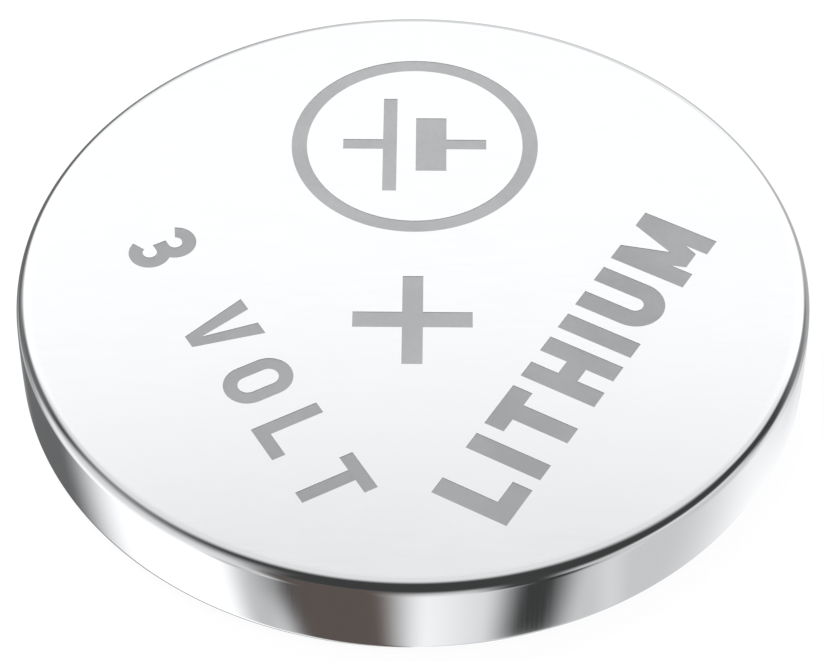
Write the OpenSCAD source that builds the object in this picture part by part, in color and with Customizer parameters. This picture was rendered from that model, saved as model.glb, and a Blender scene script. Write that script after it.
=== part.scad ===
// Lithium coin cell lying with its positive face up.
// The origin is the centre of the negative contact face, and +Z points to the positive face.
// Every metal piece is a pressed sheet, so each is a section of one thickness turned about Z.
// The marks' top points to +Y.

/* [Cell] */
// Outside diameter of the cell
cell_d = 20; // [19:0.1:22]
// Height from the negative contact face to the positive face
cell_h = 2.5; // [2.3:0.05:3.2]

/* [Positive can] */
// Thickness of the can's nickel-plated steel sheet
can_sheet = 0.22; // [0.18:0.01:0.25]
// Outer radius of the drawn corner between the face and the wall
can_corner_r = 0.32; // [0.28:0.01:0.4]
// Outer radius of the crimp, where the wall turns in under the cell
crimp_r = 0.27; // [0.25:0.01:0.35]
// Height of the crimp's underside above the negative contact face
crimp_rise = 0.12; // [0.06:0.01:0.2]
// Width of the crimped lip, from the outside of the wall to its rounded edge
crimp_w = 1.05; // [0.8:0.05:1.3]

/* [Marks on the positive face] */
// Depth to which the marks are etched
mark_depth = 0.01; // [0.005:0.005:0.05]
// Length of each bar of the plus sign
plus_w = 3; // [2:0.02:3.4]
// Width of the plus sign's bars
plus_line = 0.52; // [0.3:0.02:0.8]
// Gap between the plus sign and the ring
plus_gap = 1.57; // [0.5:0.01:3]
// Outside diameter of the ring
ring_d = 6.45; // [5:0.05:6.8]
// Width of the ring's line
ring_line = 0.4; // [0.2:0.02:0.5]
// Gap between the ring and the rounded edge of the face
ring_gap = 1.58; // [0.6:0.01:2]
// Height of the symbol's long plate
long_plate_h = 3.46; // [2.4:0.02:4]
// Height of the symbol's short plate
short_plate_h = 1.98; // [1:0.02:2.4]
// Width of the symbol's long plate and of its two leads
thin_line = 0.36; // [0.2:0.02:0.5]
// Width of the symbol's short plate
thick_line = 0.8; // [0.4:0.05:1]
// Gap between the symbol's two plates
plate_gap = 0.5; // [0.3:0.05:0.9]
// Gap between the end of each of the symbol's leads and the ring
lead_gap = 0.95; // [0.5:0.05:1.2]

/* [Sealing gasket] */
// Thickness of the gasket's outer wall, between the can and the cap's skirt
gasket_wall = 0.28; // [0.2:0.01:0.35]
// Thickness of the gasket's inner wall, inside the cap's skirt
gasket_inner_wall = 0.27; // [0.15:0.01:0.35]
// Height of the gasket's inner wall from its floor
gasket_inner_h = 0.5; // [0.2:0.05:0.8]
// Thickness of the gasket's floor, between the can's face and the skirt's edge
gasket_floor = 0.3; // [0.2:0.01:0.4]
// Thickness of the gasket's lip, pressed between the crimp and the cap's shoulder
gasket_lip = 0.16; // [0.1:0.01:0.25]
// Width of the bead that the lip forms inside the crimp's edge
gasket_bead_w = 0.24; // [0.16:0.01:0.3]
// Film of sealant between the gasket and each metal face
seal_film = 0.01; // [0.005:0.005:0.02]

/* [Negative cap] */
// Thickness of the cap's steel sheet
cap_sheet = 0.2; // [0.15:0.01:0.25]
// Width of the open groove between the gasket's bead and the cap's raised contact plate
groove_w = 0.4; // [0.2:0.05:1]
// Inner radius of each bend in the cap
cap_bend_r = 0.09; // [0.05:0.01:0.1]

/* [Cell stack] */
// Clearance between the lithium's edge and the step round the cap's well
anode_gap = 0.7; // [0.3:0.05:1.2]
// Thickness of the separator
separator_t = 0.18; // [0.1:0.01:0.3]
// Clearance between the separator's edge and the cap's skirt
separator_gap = 0.3; // [0.15:0.05:0.6]
// Clearance between the pellet's edge and the gasket's inner wall
pellet_gap = 0.8; // [0.3:0.05:1]
// Width of the bevel that pressing leaves along the pellet's edges
pellet_bevel = 0.12; // [0.05:0.01:0.25]
// Thickness of the collector disc
collector_t = 0.08; // [0.05:0.01:0.12]
// Distance that the collector's edge stays inside the pellet's edge
collector_inset = 0.6; // [0.3:0.05:1]
// Diameter of the collector's holes
hole_d = 1.2; // [0.8:0.1:1.4]
// Rows of holes on each side of the middle row
hole_rows = 4; // [3:1:5]
// Least width of metal between a hole and the collector's edge
hole_margin = 0.4; // [0.3:0.05:0.8]

/* [Hidden] */
$fn = 96;
// Cutting tools reach this far past the surface that they cut
past = 0.5;
// Two lengths closer than this count as equal
tiny = 0.0001;

cell_r = cell_d / 2;

can_in_r = cell_r - can_sheet;
can_floor_z = cell_h - can_sheet;
crimp_in_r = crimp_r - can_sheet;
crimp_edge_r = cell_r - crimp_w;
crimp_top_z = crimp_rise + can_sheet;

gasket_out_r = can_in_r - seal_film;
gasket_in_r = gasket_out_r - gasket_wall;
gasket_top_z = can_floor_z - seal_film;
gasket_floor_z = gasket_top_z - gasket_floor;
gasket_lip_z = crimp_top_z + seal_film;
bead_out_r = crimp_edge_r - seal_film;
bead_in_r = bead_out_r - gasket_bead_w;

skirt_out_r = gasket_in_r - seal_film;
skirt_in_r = skirt_out_r - cap_sheet;
skirt_end_z = gasket_floor_z - seal_film;
shoulder_z = gasket_lip_z + gasket_lip + seal_film;
well_top_z = shoulder_z + cap_sheet;
bend_out_r = cap_bend_r + cap_sheet;
plate_r = bead_in_r - groove_w;

groove_in_r = skirt_in_r - seal_film;
gasket_bore_r = groove_in_r - gasket_inner_wall;

anode_r = plate_r - cap_sheet - anode_gap;
separator_r = skirt_in_r - separator_gap;
pellet_r = gasket_bore_r - pellet_gap;
pellet_z = well_top_z + separator_t;
collector_z = can_floor_z - collector_t;
collector_r = pellet_r - collector_inset;
hole_reach = collector_r - hole_margin - hole_d / 2;
row_pitch = hole_reach / hole_rows;
hole_pitch = row_pitch / sin(60);

face_r = cell_r - can_corner_r;
ring_y = face_r - ring_gap - ring_d / 2;
plus_y = ring_y - ring_d / 2 - plus_gap - plus_w / 2;

// Rectangle of a section, from radius r0 to r1 and from height z0 to z1
module band(r0, r1, z0, z1) {
    translate([r0, z0]) square([r1 - r0, z1 - z0]);
}

// Quarter ring of a section about the point (r, z): a sheet's bend, or a whole quarter if r_in is 0.
// turn is the angle at which the quarter starts, in steps of 90 degrees.
module bend(r, z, r_in, r_out, turn) {
    translate([r, z]) rotate(turn) intersection() {
        difference() {
            circle(r_out);
            if (r_in > 0) circle(r_in);
        }
        square(r_out + past);
    }
}

// Plus sign that marks the positive face
module plus_sign() {
    translate([0, plus_y]) {
        square([plus_w, plus_line], center = true);
        square([plus_line, plus_w], center = true);
    }
}

// Ring round the symbol
module ring() {
    translate([0, ring_y]) difference() {
        circle(ring_d / 2);
        circle(ring_d / 2 - ring_line);
    }
}

// Circuit symbol of a cell: a long thin plate, a short thick plate and a lead on each
module cell_symbol() {
    plates_w = thin_line + plate_gap + thick_line;
    lead_end = ring_d / 2 - ring_line - lead_gap;
    translate([0, ring_y]) {
        translate([-plates_w / 2, -long_plate_h / 2]) square([thin_line, long_plate_h]);
        translate([plates_w / 2 - thick_line, -short_plate_h / 2]) square([thick_line, short_plate_h]);
        for (side = [0, 180]) rotate(side)
            translate([plates_w / 2, -thin_line / 2]) square([lead_end - plates_w / 2, thin_line]);
    }
}

// Drawn cup: face, corner, wall, crimp and lip in one sheet, with the marks etched into its face
module positive_can() {
    color([0.8, 0.8, 0.79]) difference() {
        rotate_extrude() {
            band(0, face_r, can_floor_z, cell_h);
            bend(face_r, cell_h - can_corner_r, can_corner_r - can_sheet, can_corner_r, 0);
            band(can_in_r, cell_r, crimp_rise + crimp_r, cell_h - can_corner_r);
            bend(cell_r - crimp_r, crimp_rise + crimp_r, crimp_in_r, crimp_r, 270);
            band(crimp_edge_r + can_sheet / 2, cell_r - crimp_r, crimp_rise, crimp_top_z);
            for (turn = [90, 180])
                bend(crimp_edge_r + can_sheet / 2, crimp_rise + can_sheet / 2, 0, can_sheet / 2, turn);
        }
        color([0.45, 0.45, 0.45]) translate([0, 0, cell_h - mark_depth])
        linear_extrude(mark_depth + past) {
            plus_sign();
            ring();
            cell_symbol();
        }
    }
}

// Moulded ring with a groove for the cap's skirt; its lip is pressed between crimp and shoulder
module sealing_gasket() {
    corner_r = can_corner_r - can_sheet;
    fillet_r = bend_out_r + seal_film;
    color([0.16, 0.17, 0.19]) rotate_extrude() {
        band(gasket_bore_r, gasket_out_r - corner_r, gasket_floor_z, gasket_top_z);
        bend(gasket_out_r - corner_r, gasket_top_z - corner_r, 0, corner_r, 0);
        band(gasket_out_r - corner_r, gasket_out_r, gasket_floor_z, gasket_top_z - corner_r);
        band(gasket_bore_r, groove_in_r, gasket_floor_z - gasket_inner_h, gasket_floor_z);
        band(gasket_in_r, gasket_out_r, gasket_lip_z + crimp_in_r, gasket_floor_z);
        bend(gasket_out_r - crimp_in_r, gasket_lip_z + crimp_in_r, 0, crimp_in_r, 270);
        band(gasket_in_r, gasket_out_r - crimp_in_r, gasket_lip_z, gasket_lip_z + crimp_in_r);
        band(bead_in_r, gasket_in_r, gasket_lip_z, gasket_lip_z + gasket_lip);
        for (turn = [180, 270])
            bend((bead_in_r + bead_out_r) / 2, gasket_lip_z, 0, gasket_bead_w / 2, turn);
        difference() {
            band(gasket_in_r - fillet_r, gasket_in_r,
                 gasket_lip_z + gasket_lip, gasket_lip_z + gasket_lip + fillet_r);
            translate([gasket_in_r - fillet_r, gasket_lip_z + gasket_lip + fillet_r]) circle(fillet_r);
        }
    }
}

// Pressed cap: contact plate, step, shoulder and skirt in one sheet
module negative_cap() {
    color([0.72, 0.72, 0.7]) rotate_extrude() {
        band(0, plate_r - bend_out_r, 0, cap_sheet);
        bend(plate_r - bend_out_r, bend_out_r, cap_bend_r, bend_out_r, 270);
        band(plate_r - cap_sheet, plate_r, bend_out_r, shoulder_z - cap_bend_r);
        bend(plate_r + cap_bend_r, shoulder_z - cap_bend_r, cap_bend_r, bend_out_r, 90);
        band(plate_r + cap_bend_r, skirt_out_r - bend_out_r, shoulder_z, well_top_z);
        bend(skirt_out_r - bend_out_r, shoulder_z + bend_out_r, cap_bend_r, bend_out_r, 270);
        band(skirt_in_r, skirt_out_r, shoulder_z + bend_out_r, skirt_end_z);
    }
}

// Perforated disc welded flat against the inside of the can's face
module cathode_collector() {
    color([0.6, 0.6, 0.6]) translate([0, 0, collector_z]) linear_extrude(collector_t) difference() {
        circle(collector_r);
        for (row = [-hole_rows:hole_rows], place = [-2 * hole_rows:2 * hole_rows]) {
            spot = [(place + row / 2) * hole_pitch, row * row_pitch];
            if (norm(spot) < hole_reach + tiny) translate(spot) circle(hole_d / 2);
        }
    }
}

// Pressed powder disc with bevelled edges, between the collector and the separator
module cathode_pellet() {
    color([0.12, 0.12, 0.13]) rotate_extrude() polygon([
        [0, pellet_z],
        [pellet_r - pellet_bevel, pellet_z],
        [pellet_r, pellet_z + pellet_bevel],
        [pellet_r, collector_z - pellet_bevel],
        [pellet_r - pellet_bevel, collector_z],
        [0, collector_z]
    ]);
}

// Felt disc lying on the lithium and on the cap's shoulder
module separator() {
    color([0.93, 0.93, 0.9]) translate([0, 0, well_top_z]) cylinder(r = separator_r, h = separator_t);
}

// Punched foil disc that fills the cap's well, flush with the inside of the shoulder
module lithium_anode() {
    color([0.66, 0.67, 0.7]) translate([0, 0, cap_sheet])
        cylinder(r = anode_r, h = well_top_z - cap_sheet);
}

positive_can();
sealing_gasket();
negative_cap();
cathode_collector();
cathode_pellet();
separator();
lithium_anode();
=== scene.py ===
"""Lithium coin cell on a pale floor, positive face up. Sizes are in millimetres until a mesh is made."""
import math

import bmesh
import bpy
import numpy as np
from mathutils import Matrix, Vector
from mathutils.geometry import delaunay_2d_cdt


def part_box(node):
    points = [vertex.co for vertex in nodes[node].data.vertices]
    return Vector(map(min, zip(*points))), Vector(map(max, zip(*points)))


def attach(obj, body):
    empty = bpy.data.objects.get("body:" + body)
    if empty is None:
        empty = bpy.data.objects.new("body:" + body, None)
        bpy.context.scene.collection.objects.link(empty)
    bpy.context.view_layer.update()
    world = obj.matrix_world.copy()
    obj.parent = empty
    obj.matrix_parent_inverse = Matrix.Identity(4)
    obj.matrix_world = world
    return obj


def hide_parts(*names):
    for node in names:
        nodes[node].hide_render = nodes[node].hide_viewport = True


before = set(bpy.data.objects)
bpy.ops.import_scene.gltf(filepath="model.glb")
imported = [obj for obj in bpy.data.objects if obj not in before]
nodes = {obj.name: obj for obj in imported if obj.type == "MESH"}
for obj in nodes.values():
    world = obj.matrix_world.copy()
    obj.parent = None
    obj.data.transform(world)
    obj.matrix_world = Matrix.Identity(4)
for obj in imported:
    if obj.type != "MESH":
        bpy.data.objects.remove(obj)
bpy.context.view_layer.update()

# Positive can: a cup deep-drawn from nickel-plated steel sheet 0.22 mm thick, whose flat base is the face.
# The die polishes its corner and wall, and leaves the wall standing out by a hair at mid-height.
# Its edge is rolled in over the gasket to close the cell.
MM = 0.001
can_low, can_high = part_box("positive_can")
can_r = can_high.x / MM
face_z = can_high.z / MM
crimp_z = can_low.z / MM
can_sheet = 0.22
can_corner_r = 0.32
crimp_r = 0.27
crimp_w = 1.05
wall_bulge = 0.012
turns = 600
inset = 0.02
same_place = 0.0002
sharp_angle = 30


def arc(middle, radius, start, end, steps):
    """A bend in a section: the middle plus the radius times (cos, sin) of an angle that goes evenly from
    start to end, in degrees."""
    angle = np.radians(np.linspace(start, end, steps + 1))
    return np.add(middle, radius * np.column_stack([np.cos(angle), np.sin(angle)]))


def flat(start, end):
    """A straight run in a section, with one more point just inside each end. Shading that turns with a
    bend stops at that point, so that the rest of the run shines as a flat."""
    start = np.array(start, float)
    end = np.array(end, float)
    step = (end - start) * inset / np.linalg.norm(end - start)
    return np.array([start, start + step, end - step, end])


def bulged(start, end):
    """An upright run in a section that stands out by wall_bulge at the middle: a parabola, four times the
    bulge times the share of the height below a point times the share above it."""
    share = np.linspace(0, 1, 17)
    out = wall_bulge * 4 * share * (1 - share)
    return np.column_stack([start[0] + out, start[1] + share * (end[1] - start[1])])


def section(*runs):
    """The runs' points as one line, without a point that repeats the one before it."""
    line = np.vstack(runs)
    moves = np.linalg.norm(np.diff(line, axis=0), axis=1)
    return line[np.append(True, moves > same_place)]


def turn_section(line, closed):
    """The section's points carried round Z. A point (r, z) at angle a becomes (r cos a, r sin a, z). Faces
    join neighbours round the circle and along the line, and a closed line's last point to its first. They
    face outwards where the line runs clockwise."""
    angle = np.arange(turns) * 2 * math.pi / turns
    across, up = line[:, :1], line[:, 1:]
    points = np.stack([across * np.cos(angle), across * np.sin(angle), up + 0 * angle], axis=-1)
    rows = len(line)
    row = np.arange(rows if closed else rows - 1)[:, None]
    next_row = (row + 1) % rows
    place = np.arange(turns)[None, :]
    next_place = (place + 1) % turns
    quads = np.stack([row * turns + place, next_row * turns + place,
                      next_row * turns + next_place, row * turns + next_place], axis=-1)
    return points.reshape(-1, 3), quads.reshape(-1, 4)


def make_piece(name, node, parts, materials):
    """One mesh of several (points in mm, faces, material number), with points that fall together made one.
    The piece rides on the cell's one body and stands for the CAD node."""
    mesh = bpy.data.meshes.new(name)
    starts = np.cumsum([0] + [len(points) for points, _, _ in parts])
    points = np.vstack([points for points, _, _ in parts]) * MM
    faces = [face for (_, part, _), start in zip(parts, starts) for face in (part + start).tolist()]
    mesh.from_pydata(points.tolist(), [], faces)
    numbers = np.concatenate([np.full(len(part), number) for _, part, number in parts])
    mesh.polygons.foreach_set("material_index", numbers.astype(np.int32))
    for material in materials:
        mesh.materials.append(material)
    work = bmesh.new()
    work.from_mesh(mesh)
    bmesh.ops.remove_doubles(work, verts=work.verts, dist=same_place * MM)
    work.to_mesh(mesh)
    work.free()
    mesh.shade_smooth()
    mesh.set_sharp_from_angle(angle=math.radians(sharp_angle))
    piece = bpy.data.objects.new(name, mesh)
    bpy.context.scene.collection.objects.link(piece)
    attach(piece, "root")
    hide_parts(node)


wall_r = can_r - wall_bulge
corner_middle = (wall_r - can_corner_r, face_z - can_corner_r)
crimp_middle = (wall_r - crimp_r, crimp_z + crimp_r)
nose_r = can_sheet / 2
nose_middle = (can_r - crimp_w + nose_r, crimp_z + nose_r)
wall_in_r = can_r - can_sheet
corner_in_middle = (can_r - can_corner_r, corner_middle[1])
crimp_in_middle = (can_r - crimp_r, crimp_middle[1])
face_in_z = face_z - can_sheet
lip_top_z = crimp_z + can_sheet
flat_r = corner_middle[0] - inset

can_line = section(
    [(flat_r, face_z)],
    arc(corner_middle, can_corner_r, 90, 0, 24),
    bulged((wall_r, corner_middle[1]), (wall_r, crimp_middle[1])),
    arc(crimp_middle, crimp_r, 0, -90, 20),
    flat((crimp_middle[0], crimp_z), (nose_middle[0], crimp_z)),
    arc(nose_middle, nose_r, -90, -270, 16),
    flat((nose_middle[0], lip_top_z), (crimp_in_middle[0], lip_top_z)),
    arc(crimp_in_middle, crimp_r - can_sheet, -90, 0, 8),
    flat((wall_in_r, crimp_middle[1]), (wall_in_r, corner_middle[1])),
    arc(corner_in_middle, can_corner_r - can_sheet, 0, 90, 8),
    flat((corner_in_middle[0], face_in_z), (0, face_in_z)),
)


def new_material(name):
    """An empty node material with its Principled shader."""
    material = bpy.data.materials.new(name)
    material.use_nodes = True
    return material, material.node_tree, material.node_tree.nodes["Principled BSDF"]


def add(tree, kind, inputs=(), **settings):
    """One shader node with its settings. Each input is (socket name or number, a value or another node's
    output)."""
    made = tree.nodes.new("ShaderNode" + kind)
    for setting, value in settings.items():
        setattr(made, setting, value)
    for socket, value in inputs:
        if isinstance(value, bpy.types.NodeSocket):
            tree.links.new(value, made.inputs[socket])
        else:
            made.inputs[socket].default_value = value
    return made


def in_millimetres(tree, stretch=(1, 1, 1)):
    """The place on the piece in millimetres, stretched along each axis."""
    place = add(tree, "TexCoord").outputs["Object"]
    scale = [s / MM for s in stretch]
    return add(tree, "Mapping", [("Vector", place), ("Scale", scale)]).outputs["Vector"]


def noise(tree, place, per_mm, detail=2.0, roughness=0.5):
    """Smooth random values from 0 to 1, about per_mm lumps a millimetre."""
    inputs = [("Vector", place), ("Scale", per_mm), ("Detail", detail), ("Roughness", roughness)]
    return add(tree, "TexNoise", inputs).outputs[0]


def fit(tree, value, start, end, low=0.0, high=1.0, kind="SMOOTHSTEP"):
    """low where the value is start, high where it is end, with an even or smooth change between them."""
    inputs = [("Value", value), ("From Min", start), ("From Max", end), ("To Min", low), ("To Max", high)]
    return add(tree, "MapRange", inputs, interpolation_type=kind).outputs[0]


def maths(tree, operation, *values):
    """One Math node."""
    return add(tree, "Math", list(enumerate(values)), operation=operation).outputs[0]


def blend(tree, amount, first, second):
    """The first colour where the amount is 0, the second where it is 1."""
    return add(tree, "Mix", [(0, amount), (6, first), (7, second)], data_type="RGBA").outputs[2]


def bump(tree, height, depth, strength=1.0):
    """A relief of the given depth in millimetres."""
    inputs = [("Height", height), ("Distance", depth * MM), ("Strength", strength)]
    return add(tree, "Bump", inputs).outputs[0]


# The finish goes from satin to polished between these two distances in from the can's side.
satin_margin = 0.45
polished_margin = 0.2
satin_metallic = 0.66


def nickel_plate():
    """Bright nickel: polished on the drawn corner and wall, satin on the rolled face, which scatters a
    third of the light. The face has the sheet's fine grain along X, and the wall has faint upright marks
    from the die."""
    material, tree, shader = new_material("nickel_plate")
    place = in_millimetres(tree)
    parts = add(tree, "SeparateXYZ", [("Vector", place)]).outputs
    squares = [maths(tree, "POWER", parts[axis], 2.0) for axis in "XY"]
    radius = maths(tree, "SQRT", maths(tree, "ADD", *squares))
    drawn = fit(tree, radius, can_r - satin_margin, can_r - polished_margin)
    grain = noise(tree, in_millimetres(tree, (0.35, 6, 1)), 3.0, 3.0)
    die_marks = noise(tree, in_millimetres(tree, (9, 9, 0.15)), 2.0, 2.0)
    handling = noise(tree, place, 0.35, 4.0, 0.6)
    rolled = fit(tree, grain, 0.3, 0.7, 0.13, 0.17)
    satin = maths(tree, "ADD", rolled, fit(tree, handling, 0.35, 0.7, 0, 0.02))
    polished = fit(tree, die_marks, 0.3, 0.7, 0.07, 0.1)
    roughness = add(tree, "Mix", [(0, drawn), (2, satin), (3, polished)]).outputs[0]
    tree.links.new(roughness, shader.inputs["Roughness"])
    tone = blend(tree, handling, (0.89, 0.89, 0.89, 1), (0.91, 0.91, 0.908, 1))
    tree.links.new(tone, shader.inputs["Base Color"])
    relief = add(tree, "Mix", [(0, drawn), (2, grain), (3, die_marks)]).outputs[0]
    tree.links.new(bump(tree, relief, 0.0003, 0.15), shader.inputs["Normal"])
    tree.links.new(fit(tree, drawn, 0, 1, satin_metallic, 1.0, "LINEAR"), shader.inputs["Metallic"])
    return material


# Marks: a laser dulls the nickel to a matt grey, 0.01 mm deep, in the outline of each mark.
# They are the contact's plus sign, a ring round the circuit symbol of a cell, and plain words for the
# voltage and the chemistry.
mark_depth = 0.01
plus_y = -1.42
plus_w = 3.0
plus_line = 0.52
ring_y = 4.875
ring_r = 3.225
ring_line = 0.4
long_plate_h = 3.46
short_plate_h = 1.98
thin_line = 0.36
thick_line = 0.8
plates_w = 1.66
lead_end = 1.875
word_turn = 60
voltage = "3 VOLT"
voltage_place = (-4.1, -2.92)
voltage_high = 1.8
voltage_line = 0.36
voltage_long = 10.2
chemistry = "LITHIUM"
chemistry_place = (4.11, -2.83)
chemistry_high = 2.05
chemistry_line = 0.54
chemistry_long = 10.9


def box_loop(left, low, right, high):
    """A rectangle's corners."""
    return np.array([(left, low), (right, low), (right, high), (left, high)], float)


def curved_bar(middle, radius, line, start, end):
    """Part of a ring: an outer arc, then the inner arc back, the line's width further in, both in about
    ten steps a millimetre."""
    steps = max(6, int(abs(end - start) * radius / 6))
    outer = arc(middle, radius, start, end, steps)
    return np.vstack([outer, arc(middle, radius - line, end, start, steps)])


def letter(sign, wide, high, line):
    """A plain letter's outlines in a box from (0, 0) to (wide, high), drawn with strokes of one width:
    straight bars, and parts of a ring where the sign is round."""
    left = box_loop(0, 0, line, high)
    right = box_loop(wide - line, 0, wide, high)
    middle = wide / 2
    bowl = (high + line) / 4
    slant = line * 1.12
    notch = high * 0.42
    tip = high * 0.12
    bowl_end = 155
    shapes = {
        " ": [],
        "I": [left],
        "L": [left, box_loop(0, 0, wide, line)],
        "T": [box_loop(0, high - line, wide, high),
              box_loop(middle - line / 2, 0, middle + line / 2, high)],
        "H": [left, right, box_loop(0, (high - line) / 2, wide, (high + line) / 2)],
        "U": [box_loop(0, middle, line, high), box_loop(wide - line, middle, wide, high),
              curved_bar((middle, middle), middle, line, 180, 360)],
        "O": [box_loop(0, middle, line, high - middle), box_loop(wide - line, middle, wide, high - middle),
              curved_bar((middle, middle), middle, line, 180, 360),
              curved_bar((middle, high - middle), middle, line, 0, 180)],
        "V": [np.array([(0, high), (slant, high), (middle, line), (wide - slant, high), (wide, high),
                        (middle + slant / 2, 0), (middle - slant / 2, 0)])],
        "M": [left, right, np.array([(0, high), (line, high), (middle, notch), (wide - line, high),
                                     (wide, high), (middle + line / 2, tip), (middle - line / 2, tip)])],
        "3": [curved_bar((wide - bowl, high - bowl), bowl, line, bowl_end, -90),
              curved_bar((wide - bowl, bowl), bowl, line, 90, -bowl_end),
              box_loop(wide - bowl * 1.35, (high - line) / 2, wide - bowl, (high + line) / 2)],
    }
    return shapes[sign]


# A letter's width as a share of its height.
letter_wide = {"I": 0.0, "L": 0.62, "T": 0.7, "H": 0.74, "U": 0.74, "M": 0.92, "V": 0.74, "O": 0.68,
               "3": 0.6, " ": 0.34}


def word(text, place, turn, high, line, long):
    """A word's letters side by side with even gaps that make it the given length, turned and put with its
    middle at the place. Each letter is as wide as a share of the height, and never under one line."""
    widths = [max(letter_wide[sign] * high, line) for sign in text]
    gap = (long - sum(widths)) / (len(text) - 1)
    starts = np.cumsum([0] + [wide + gap for wide in widths[:-1]])
    cos = math.cos(math.radians(turn))
    sin = math.sin(math.radians(turn))
    spin = np.array([(cos, sin), (-sin, cos)])
    shift = np.array((long / 2, high / 2))
    return [(loop + (start, 0) - shift) @ spin + place
            for sign, start, wide in zip(text, starts, widths) for loop in letter(sign, wide, high, line)]


round_steps = 180
ring_middle = (0, ring_y)
rings = [arc(ring_middle, radius, 0, 360, round_steps)[:-1] for radius in (ring_r, ring_r - ring_line)]
half = plates_w / 2
thin = thin_line / 2
bars = [
    box_loop(-plus_w / 2, -plus_line / 2, plus_w / 2, plus_line / 2) + (0, plus_y),
    box_loop(-plus_line / 2, -plus_w / 2, plus_line / 2, plus_w / 2) + (0, plus_y),
    box_loop(-half, -long_plate_h / 2, -half + thin_line, long_plate_h / 2) + ring_middle,
    box_loop(half - thick_line, -short_plate_h / 2, half, short_plate_h / 2) + ring_middle,
    box_loop(-lead_end, -thin, -half, thin) + ring_middle,
    box_loop(half, -thin, lead_end, thin) + ring_middle,
]
words = (word(voltage, voltage_place, -word_turn, voltage_high, voltage_line, voltage_long)
         + word(chemistry, chemistry_place, word_turn, chemistry_high, chemistry_line, chemistry_long))
symbols = [rings] + [[loop] for loop in bars]
letters = [[loop] for loop in words]


def crossings(points, loop):
    """How many of the loop's edges each point sees on its right."""
    ends = np.roll(loop, -1, axis=0)
    x, y = points[:, :1], points[:, 1:]
    spans = (loop[:, 1] > y) != (ends[:, 1] > y)
    rise = np.where(ends[:, 1] == loop[:, 1], 1, ends[:, 1] - loop[:, 1])
    meets = loop[:, 0] + (y - loop[:, 1]) * (ends[:, 0] - loop[:, 0]) / rise
    return (spans & (x < meets)).sum(axis=1)


def inside(points, marks):
    """Whether each point lies in a mark, which is where it sees an odd number of that mark's edges."""
    return np.any([sum(crossings(points, loop) for loop in mark) % 2 == 1 for mark in marks], axis=0)


def etched_face():
    """The flat face split into triangles along every outline. A triangle whose middle lies in a mark is
    the floor of a recess, and each edge between it and a triangle of the face becomes an upright wall.
    Such an edge is one that the two run along in opposite ways: each edge gets a number made of its start
    and end for the face, and of its end and start for the marks, and the walls are the numbers in both."""
    rim = arc((0, 0), flat_r, 0, 360, turns)[:-1]
    loops = [rim] + [loop for mark in symbols + letters for loop in mark]
    starts = np.cumsum([0] + [len(loop) for loop in loops])
    edges = [(start + i, start + (i + 1) % len(loop)) for start, loop in zip(starts, loops)
             for i in range(len(loop))]
    corners = [Vector(corner) for corner in np.vstack(loops).tolist()]
    made = delaunay_2d_cdt(corners, edges, [], 0, 1e-6, False)
    places = np.array([tuple(corner) for corner in made[0]])
    triangles = np.array(made[2])
    middles = places[triangles].mean(axis=1)
    in_letter = inside(middles, letters)
    marked = inside(middles, symbols) | in_letter
    count = len(places)
    top = np.column_stack([places, np.full(count, face_z)])
    floor = np.column_stack([places, np.full(count, face_z - mark_depth)])
    ways = [(0, 1), (1, 2), (2, 0)]
    face_edges = np.vstack([triangles[~marked][:, way] for way in ways])
    mark_edges = np.vstack([triangles[marked][:, way] for way in ways])
    face_numbers = face_edges[:, 0] * count + face_edges[:, 1]
    mark_numbers = mark_edges[:, 1] * count + mark_edges[:, 0]
    start, end = face_edges[np.isin(face_numbers, mark_numbers)].T
    walls = np.column_stack([end, start, start + count, end + count])
    return ((top, triangles[~marked]), (np.vstack([top, floor]), walls),
            (floor, triangles[marked & ~in_letter]), (floor, triangles[in_letter]))


def etched_nickel(name, grey_level):
    """Nickel that a laser has roughened: grey and dull, with the fine lines of the beam's passes."""
    material, tree, shader = new_material(name)
    place = in_millimetres(tree)
    inputs = [("Vector", place), ("Scale", 3.2), ("Distortion", 0.6), ("Detail", 2.0)]
    passes = add(tree, "TexWave", inputs, bands_direction="Y").outputs[1]
    pits = noise(tree, place, 9.0, 3.0, 0.6)
    cloud = noise(tree, place, 0.5, 3.0)
    dark = grey_level - 0.02
    light = grey_level + 0.02
    tone = blend(tree, fit(tree, cloud, 0.3, 0.7), (dark, dark, dark, 1), (light, light, light, 1))
    tree.links.new(tone, shader.inputs["Base Color"])
    tree.links.new(fit(tree, pits, 0.3, 0.7, 0.28, 0.36), shader.inputs["Roughness"])
    relief = maths(tree, "ADD", maths(tree, "MULTIPLY", passes, 0.4), pits)
    tree.links.new(bump(tree, relief, 0.002, 0.4), shader.inputs["Normal"])
    shader.inputs["Metallic"].default_value = 0.8
    return material


symbol_grey = 0.472
letter_grey = 0.403
face_part, edge_part, symbol_part, letter_part = etched_face()
can_body = turn_section(can_line, closed=False)
can_finishes = [nickel_plate(), etched_nickel("etched_symbols", symbol_grey),
                etched_nickel("etched_letters", letter_grey)]
make_piece("positive_can_drawn", "positive_can",
           [(*can_body, 0), (*face_part, 0), (*edge_part, 0), (*symbol_part, 1), (*letter_part, 2)],
           can_finishes)


def wear(node, material):
    """Gives a CAD node its finish, by assigning to its slots."""
    for held in nodes[node].material_slots:
        held.material = material


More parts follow.
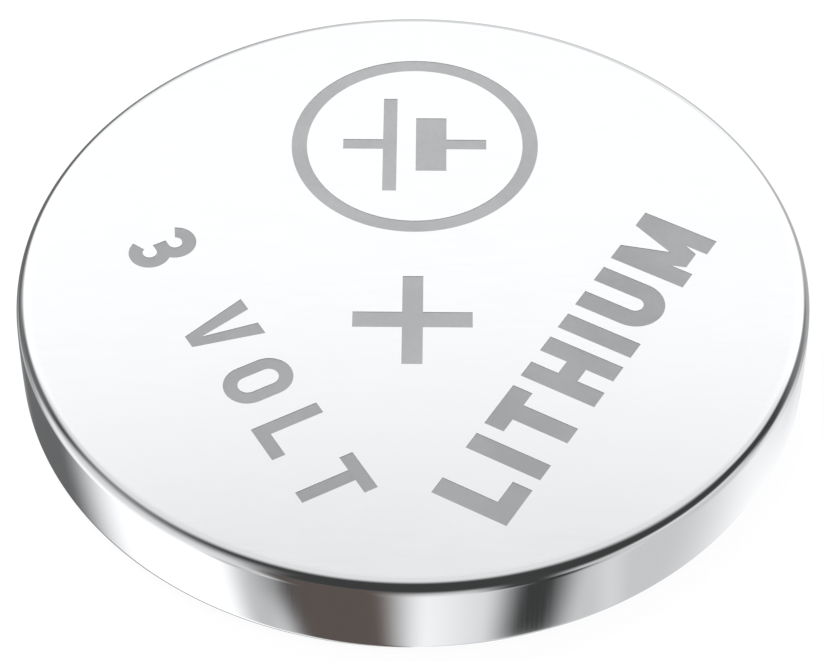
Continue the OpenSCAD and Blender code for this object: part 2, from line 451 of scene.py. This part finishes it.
def stamped_steel():
    """Dull steel with the grain of the rolls and darker blotches scattered at random."""
    material, tree, shader = new_material("stamped_steel")
    grain = noise(tree, in_millimetres(tree, (0.4, 7, 1)), 3.0, 3.0)
    blotches = noise(tree, in_millimetres(tree), 0.5, 4.0, 0.6)
    tone = blend(tree, fit(tree, blotches, 0.35, 0.7), (0.63, 0.63, 0.63, 1), (0.52, 0.51, 0.5, 1))
    tree.links.new(tone, shader.inputs["Base Color"])
    tree.links.new(fit(tree, grain, 0.3, 0.7, 0.28, 0.42), shader.inputs["Roughness"])
    tree.links.new(bump(tree, grain, 0.002, 0.5), shader.inputs["Normal"])
    shader.inputs["Metallic"].default_value = 1.0
    return material


wear("cathode_collector", stamped_steel())

# Cathode pellet: manganese dioxide and graphite powder with a binder, pressed to a hard black disc.
# The CAD node has its true form, bevels and all.


def pressed_powder():
    """Black grains of slightly different tone, with small glints of graphite."""
    material, tree, shader = new_material("pressed_powder")
    place = in_millimetres(tree)
    grains = add(tree, "TexVoronoi", [("Vector", place), ("Scale", 14.0)])
    chance = add(tree, "SeparateColor", [("Color", grains.outputs["Color"])]).outputs[0]
    glint = fit(tree, chance, 0.8, 0.95)
    tone = blend(tree, glint, (0.045, 0.045, 0.05, 1), (0.16, 0.16, 0.17, 1))
    tree.links.new(tone, shader.inputs["Base Color"])
    tree.links.new(fit(tree, glint, 0, 1, 0.8, 0.4), shader.inputs["Roughness"])
    relief = maths(tree, "ADD", grains.outputs["Distance"], noise(tree, place, 3.0, 3.0))
    tree.links.new(bump(tree, relief, 0.02, 0.6), shader.inputs["Normal"])
    return material


wear("cathode_pellet", pressed_powder())

# Separator: a disc cut from porous polypropylene felt, which soaks up the electrolyte.
# The CAD node has its true form, and the felt's crossing fibres are in its finish.


def felt():
    """White fibres in two crossing layers, each long along its own direction and bent by slow noise."""
    material, tree, shader = new_material("felt")
    along = noise(tree, in_millimetres(tree, (0.7, 8, 1)), 2.0, 2.0)
    across = noise(tree, in_millimetres(tree, (8, 0.7, 1)), 2.0, 2.0)
    fibres = maths(tree, "MAXIMUM", along, across)
    tone = blend(tree, fit(tree, fibres, 0.4, 0.7), (0.74, 0.74, 0.71, 1), (0.9, 0.9, 0.87, 1))
    tree.links.new(tone, shader.inputs["Base Color"])
    tree.links.new(fit(tree, fibres, 0.4, 0.7, 0.95, 0.75), shader.inputs["Roughness"])
    tree.links.new(bump(tree, fibres, 0.02, 0.7), shader.inputs["Normal"])
    return material


wear("separator", felt())

# Lithium anode: a disc punched from soft lithium foil and pressed into the cap.
# The CAD node has its true form. The bright metal dulls in patches as soon as air touches it.


def lithium():
    """Soft silver-grey metal with duller, darker patches and the press's fine dimples."""
    material, tree, shader = new_material("lithium")
    place = in_millimetres(tree)
    tarnish = fit(tree, noise(tree, place, 0.6, 5.0, 0.65), 0.4, 0.65)
    dimples = noise(tree, place, 6.0, 2.0)
    tone = blend(tree, tarnish, (0.7, 0.71, 0.74, 1), (0.5, 0.51, 0.54, 1))
    tree.links.new(tone, shader.inputs["Base Color"])
    tree.links.new(fit(tree, tarnish, 0, 1, 0.32, 0.55), shader.inputs["Roughness"])
    tree.links.new(bump(tree, dimples, 0.006, 0.5), shader.inputs["Normal"])
    shader.inputs["Metallic"].default_value = 1.0
    return material


wear("lithium_anode", lithium())

# Negative cap: stainless sheet 0.2 mm thick, pressed in steps to a contact plate, a shoulder and a skirt.
# The skirt stands in the gasket's groove, and the plate stands a little proud of the crimp underneath.
cap_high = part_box("negative_cap")[1]
cap_r = cap_high.x / MM
skirt_end_z = cap_high.z / MM
cap_sheet = 0.2
bend_in_r = 0.09
bend_out_r = bend_in_r + cap_sheet
plate_r = 8.3
shoulder_z = 0.52
well_z = shoulder_z + cap_sheet
plate_bend = (plate_r - bend_out_r, bend_out_r)
shoulder_bend = (plate_r + bend_in_r, shoulder_z - bend_in_r)
skirt_bend = (cap_r - bend_out_r, shoulder_z + bend_out_r)

cap_line = section(
    flat((0, cap_sheet), (plate_bend[0], cap_sheet)),
    arc(plate_bend, bend_in_r, -90, 0, 8),
    flat((plate_r - cap_sheet, plate_bend[1]), (plate_r - cap_sheet, shoulder_bend[1])),
    arc(shoulder_bend, bend_out_r, 180, 90, 12),
    flat((shoulder_bend[0], well_z), (skirt_bend[0], well_z)),
    arc(skirt_bend, bend_in_r, -90, 0, 8),
    flat((cap_r - cap_sheet, skirt_bend[1]), (cap_r - cap_sheet, skirt_end_z)),
    flat((cap_r, skirt_end_z), (cap_r, skirt_bend[1])),
    arc(skirt_bend, bend_out_r, 0, -90, 12),
    flat((skirt_bend[0], shoulder_z), (shoulder_bend[0], shoulder_z)),
    arc(shoulder_bend, bend_in_r, 90, 180, 8),
    flat((plate_r, shoulder_bend[1]), (plate_r, plate_bend[1])),
    arc(plate_bend, bend_out_r, 0, -90, 16),
    flat((plate_bend[0], 0), (0, 0)),
)


def satin_stainless():
    """Grey-white stainless with a fine even satin from the rolls, and a few faint handling marks."""
    material, tree, shader = new_material("satin_stainless")
    grain = noise(tree, in_millimetres(tree, (0.3, 7, 1)), 3.0, 3.0)
    handling = noise(tree, in_millimetres(tree), 0.4, 4.0, 0.6)
    tone = blend(tree, handling, (0.74, 0.74, 0.735, 1), (0.8, 0.8, 0.79, 1))
    tree.links.new(tone, shader.inputs["Base Color"])
    rolled = fit(tree, grain, 0.3, 0.7, 0.2, 0.27)
    roughness = maths(tree, "ADD", rolled, fit(tree, handling, 0.4, 0.7, 0, 0.05))
    tree.links.new(roughness, shader.inputs["Roughness"])
    tree.links.new(bump(tree, grain, 0.001, 0.4), shader.inputs["Normal"])
    shader.inputs["Metallic"].default_value = 1.0
    return material


make_piece("negative_cap_pressed", "negative_cap",
           [(*turn_section(cap_line, closed=False), 0)], [satin_stainless()])

# Sealing gasket: a ring moulded in dark polypropylene with a groove for the cap's skirt.
# The crimp presses its lip against the cap's shoulder, and its rounded bead shows inside the crimp's edge.
gasket_low, gasket_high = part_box("sealing_gasket")
gasket_r = gasket_high.x / MM
gasket_top_z = gasket_high.z / MM
gasket_web = 0.3
gasket_wall = 0.28
gasket_inner_wall = 0.27
gasket_lip = 0.16
groove_in_r = 9.27
inner_wall_drop = 0.5
bead_r = 0.12
bead_place_r = 8.82
gasket_floor_z = gasket_top_z - gasket_web
gasket_wall_in_r = gasket_r - gasket_wall
gasket_bore_r = groove_in_r - gasket_inner_wall
inner_end_z = gasket_floor_z - inner_wall_drop
bead_middle = (bead_place_r, gasket_low.z / MM + bead_r)
lip_z = bead_middle[1]
lip_in_z = lip_z + gasket_lip
heel_r = 0.05
heel_middle = (gasket_r - heel_r, lip_z + heel_r)
top_bend_r = can_corner_r - can_sheet
top_bend = (gasket_r - top_bend_r, gasket_top_z - top_bend_r)
fillet_r = 0.3
fillet_middle = (gasket_wall_in_r - fillet_r, lip_in_z + fillet_r)
bead_in_r = bead_middle[0] - bead_r

gasket_line = section(
    flat((gasket_bore_r, gasket_top_z), (top_bend[0], gasket_top_z)),
    arc(top_bend, top_bend_r, 90, 0, 8),
    flat((gasket_r, top_bend[1]), (gasket_r, heel_middle[1])),
    arc(heel_middle, heel_r, 0, -90, 6),
    flat((heel_middle[0], lip_z), (bead_middle[0] + bead_r, lip_z)),
    arc(bead_middle, bead_r, 0, -180, 20),
    flat((bead_in_r, lip_z), (bead_in_r, lip_in_z)),
    flat((bead_in_r, lip_in_z), (fillet_middle[0], lip_in_z)),
    arc(fillet_middle, fillet_r, -90, 0, 10),
    flat((gasket_wall_in_r, fillet_middle[1]), (gasket_wall_in_r, gasket_floor_z)),
    flat((gasket_wall_in_r, gasket_floor_z), (groove_in_r, gasket_floor_z)),
    flat((groove_in_r, gasket_floor_z), (groove_in_r, inner_end_z)),
    flat((groove_in_r, inner_end_z), (gasket_bore_r, inner_end_z)),
    flat((gasket_bore_r, inner_end_z), (gasket_bore_r, gasket_top_z))[:-1],
)


def moulded_polypropylene():
    """Dark slate plastic with a soft sheen and the fine texture of the mould."""
    material, tree, shader = new_material("moulded_polypropylene")
    place = in_millimetres(tree)
    flow = noise(tree, place, 0.8, 3.0)
    texture = noise(tree, place, 12.0, 2.0)
    tone = blend(tree, flow, (0.14, 0.15, 0.17, 1), (0.18, 0.19, 0.21, 1))
    tree.links.new(tone, shader.inputs["Base Color"])
    tree.links.new(fit(tree, texture, 0.3, 0.7, 0.38, 0.5), shader.inputs["Roughness"])
    tree.links.new(bump(tree, texture, 0.003, 0.5), shader.inputs["Normal"])
    shader.inputs["IOR"].default_value = 1.49
    return material


make_piece("sealing_gasket_moulded", "sealing_gasket",
           [(*turn_section(gasket_line, closed=True), 0)], [moulded_polypropylene()])

# Floor: a plain pale sweep that the cell lies on. It shows white, keeps the cell's soft shadow,
# and bright metal shows the studio in its place.
floor_half = 600.0
floor_shade = 0.25
floor_level = 1.07
floor_light = 0.9


def pale_floor():
    """White paint. What the camera sees is mostly its own light and a share of the light that falls on it,
    so that the shadow stays soft. From underneath it is clear, so that the cell's underside shows."""
    material, tree, shader = new_material("pale_floor")
    fibre = noise(tree, in_millimetres(tree), 2.0, 2.0)
    tone = blend(tree, fibre, (0.88, 0.88, 0.88, 1), (0.9, 0.9, 0.9, 1))
    paint = add(tree, "BsdfDiffuse", [("Color", tone)])
    lit = add(tree, "BsdfDiffuse", [("Color", (floor_shade, floor_shade, floor_shade, 1))])
    glow = add(tree, "Emission", [("Strength", floor_level - floor_shade * floor_light)])
    shown = add(tree, "AddShader", [(0, lit.outputs[0]), (1, glow.outputs[0])])
    ray = add(tree, "LightPath").outputs
    bounced = maths(tree, "MAXIMUM", ray["Is Glossy Ray"], ray["Is Transmission Ray"])
    seen = maths(tree, "MAXIMUM", ray["Is Camera Ray"], bounced)
    upper = add(tree, "MixShader", [(0, seen), (1, paint.outputs[0]), (2, shown.outputs[0])])
    underneath = add(tree, "NewGeometry").outputs["Backfacing"]
    clear = add(tree, "BsdfTransparent")
    floor_sides = add(tree, "MixShader", [(0, underneath), (1, upper.outputs[0]), (2, clear.outputs[0])])
    tree.links.new(floor_sides.outputs[0], tree.nodes["Material Output"].inputs["Surface"])
    tree.nodes.remove(shader)
    return material


floor_mesh = bpy.data.meshes.new("floor")
floor_outline = box_loop(-floor_half, -floor_half, floor_half, floor_half)
floor_corners = np.column_stack([floor_outline, np.zeros(4)]) * MM
floor_mesh.from_pydata(floor_corners.tolist(), [], [(0, 1, 2, 3)])
floor_mesh.materials.append(pale_floor())
floor = bpy.data.objects.new("floor", floor_mesh)
bpy.context.scene.collection.objects.link(floor)
floor.visible_glossy = False

# Studio light: even white light all round and one large soft lamp behind.
# What bright metal mirrors is drawn in the world: a white room under a dark ceiling, a broad soft box
# behind and overhead, and cards all round.
room_light = 0.8
lamp_watts = 0.05
lamp_size = 120
lamp_place = (-40, 60, 160)
room_level = 1.18
box_level = 1.27
overhead_level = 0.8
dark_level = 0.05


def grey(level):
    """A level as a slightly cool grey."""
    return (level * 0.985, level, level * 1.018, 1)


# A card's row: its middle's azimuth, half its width, how soft its sides are, its low end, its high end,
# how soft its ends are, its colour, and whether it leans. Angles are in degrees. Azimuth runs from the
# camera's side to the right, elevation up from the horizon. An end past 90 degrees is never reached.
brown = (0.11, 0.09, 0.082, 1)
camera_side = (4, 48, 20, -16, 200, 80, grey(dark_level), False)
cards = (
    (180, 13, 10, 49.5, 55.5, 7, grey(0.68), False),
    (-67, 29, 20, -20, 31, 56, grey(0.74), False),
    (180, 60, 40, -46, 6, 20, grey(0.62), False),
    (180, 18, 20, -46, 34, 26, grey(0.74), False),
    (60, 48, 60, -130, 0, 30, grey(0.62), False),
    (106, 14, 20, -9, 34, 20, grey(0.05), False),
    (122, 14, 20, -20, 20, 20, grey(0.2), False),
    (136, 14, 20, -42, 2, 20, grey(0.42), False),
    (74, 34, 16, 10, 50, 22, grey(0.05), False),
    (61, 4, 8, -130, -30, 20, grey(0.72), True),
    (37, 9.5, 14, -57, -20, 6, grey(0.045), False),
    (28, 9, 13, -34, 16, 20, grey(0.05), False),
    (-46, 7, 12, -130, -20, 20, grey(0.56), False),
    (-29, 12, 15, -130, -44, 8, grey(0.075), True),
    (-27, 7, 8, -48, 8, 16, grey(0.08), False),
    (-18.5, 16, 17, -130, 8, 16, brown, False),
    (-138, 31, 37, -130, 13, 24, grey(0.14), False),
    (-116, 10, 12, 4, 30, 12, grey(0.15), False),
    (160, 20, 14, -46, -12, 7, grey(0.5), False),
    (-154, 16, 16, -46, -14, 7, grey(0.17), False),
    (-124, 10, 14, -36, -16, 14, grey(0.5), False),
)


def studio_for_metal(tree):
    """The room's colour in each direction: white below the horizon, dark above it and behind the camera,
    with a broad soft box that is brightest low down behind the cell. The cards are laid over it in turn."""
    way = add(tree, "TexCoord").outputs["Generated"]
    parts = add(tree, "SeparateXYZ", [("Vector", way)]).outputs
    elevation = maths(tree, "DEGREES", maths(tree, "ARCSINE", parts["Z"]))
    towards_camera = maths(tree, "MULTIPLY", parts["Y"], -1.0)
    azimuth = maths(tree, "DEGREES", maths(tree, "ARCTAN2", parts["X"], towards_camera))
    from_back = maths(tree, "DEGREES", maths(tree, "ARCTAN2", parts["Z"], parts["Y"]))
    slant = fit(tree, elevation, -49.5, -54.5, -1.0, 4.0, "LINEAR")
    leaning_azimuth = maths(tree, "SUBTRACT", azimuth, slant)

    def lay_card(behind, middle, half_width, side_edge, low, high, end_edge, colour, leans):
        """The card over what is behind it, by an amount that falls smoothly at its four edges."""
        turned = maths(tree, "SUBTRACT", leaning_azimuth if leans else azimuth, middle)
        aside = maths(tree, "ABSOLUTE", maths(tree, "WRAP", turned, -180.0, 180.0))
        between = fit(tree, aside, half_width + side_edge / 2, half_width - side_edge / 2)
        over = fit(tree, elevation, low - end_edge / 2, low + end_edge / 2)
        under = fit(tree, elevation, high + end_edge / 2, high - end_edge / 2)
        amount = maths(tree, "MULTIPLY", between, maths(tree, "MULTIPLY", over, under))
        return blend(tree, amount, behind, colour)

    right_side = fit(tree, parts["X"], 0.9, 0.64)
    left_side = fit(tree, parts["X"], -0.85, -0.48)
    box_front = fit(tree, parts["Y"], -0.27, 0.25)
    soft_box = maths(tree, "MULTIPLY", box_front, maths(tree, "MULTIPLY", right_side, left_side))
    box_light = blend(tree, fit(tree, from_back, 45.5, 61.0), grey(box_level), grey(overhead_level))
    above = blend(tree, soft_box, grey(dark_level), box_light)
    below = lay_card(grey(room_level), *camera_side)
    seen = blend(tree, fit(tree, elevation, -10.0, 24.0), below, above)
    for card in cards:
        seen = lay_card(seen, *card)
    return seen


world = bpy.data.worlds.new("pale_studio")
bpy.context.scene.world = world
world.use_nodes = True
sky = world.node_tree
background = sky.nodes["Background"]
world_ray = add(sky, "LightPath").outputs
even_light = (room_light, room_light, room_light, 1)
lit_room = blend(sky, world_ray["Is Glossy Ray"], even_light, studio_for_metal(sky))
clear_ray = maths(sky, "MAXIMUM", world_ray["Is Camera Ray"], world_ray["Is Transmission Ray"])
sky.links.new(blend(sky, clear_ray, lit_room, (1, 1, 1, 1)), background.inputs["Color"])
world.cycles.sampling_method = "NONE"

lamp_data = bpy.data.lights.new("soft_lamp", "AREA")
lamp_data.energy = lamp_watts
lamp_data.shape = "DISK"
lamp_data.size = lamp_size * MM
lamp = bpy.data.objects.new("soft_lamp", lamp_data)
bpy.context.scene.collection.objects.link(lamp)
lamp.location = Vector(lamp_place) * MM
lamp.rotation_euler = (-lamp.location).to_track_quat("-Z", "Y").to_euler()
lamp.visible_glossy = False

# Camera: the photograph's viewing angle, from the front and 47 degrees above the floor.
# It aims at a place on the face a little in front of the middle, through a long lens.
lens = 144.17
aim = Vector((-0.008, -1.812, face_z))
camera_distance = 81.937
camera_elevation = math.radians(47.057)
camera_turn = math.radians(0.55)
camera_data = bpy.data.cameras.new("camera")
camera_data.lens = lens
camera_data.sensor_width = 36.0
camera_data.clip_start = 1 * MM
camera_data.clip_end = 3000 * MM
camera = bpy.data.objects.new("camera", camera_data)
bpy.context.scene.collection.objects.link(camera)
level = math.cos(camera_elevation)
back = Vector((level * math.sin(camera_turn), -level * math.cos(camera_turn),
               math.sin(camera_elevation)))
camera.location = (aim + back * camera_distance) * MM
camera.rotation_euler = (-back).to_track_quat("-Z", "Y").to_euler()
bpy.context.scene.camera = camera
bpy.context.scene.view_settings.view_transform = "Standard"
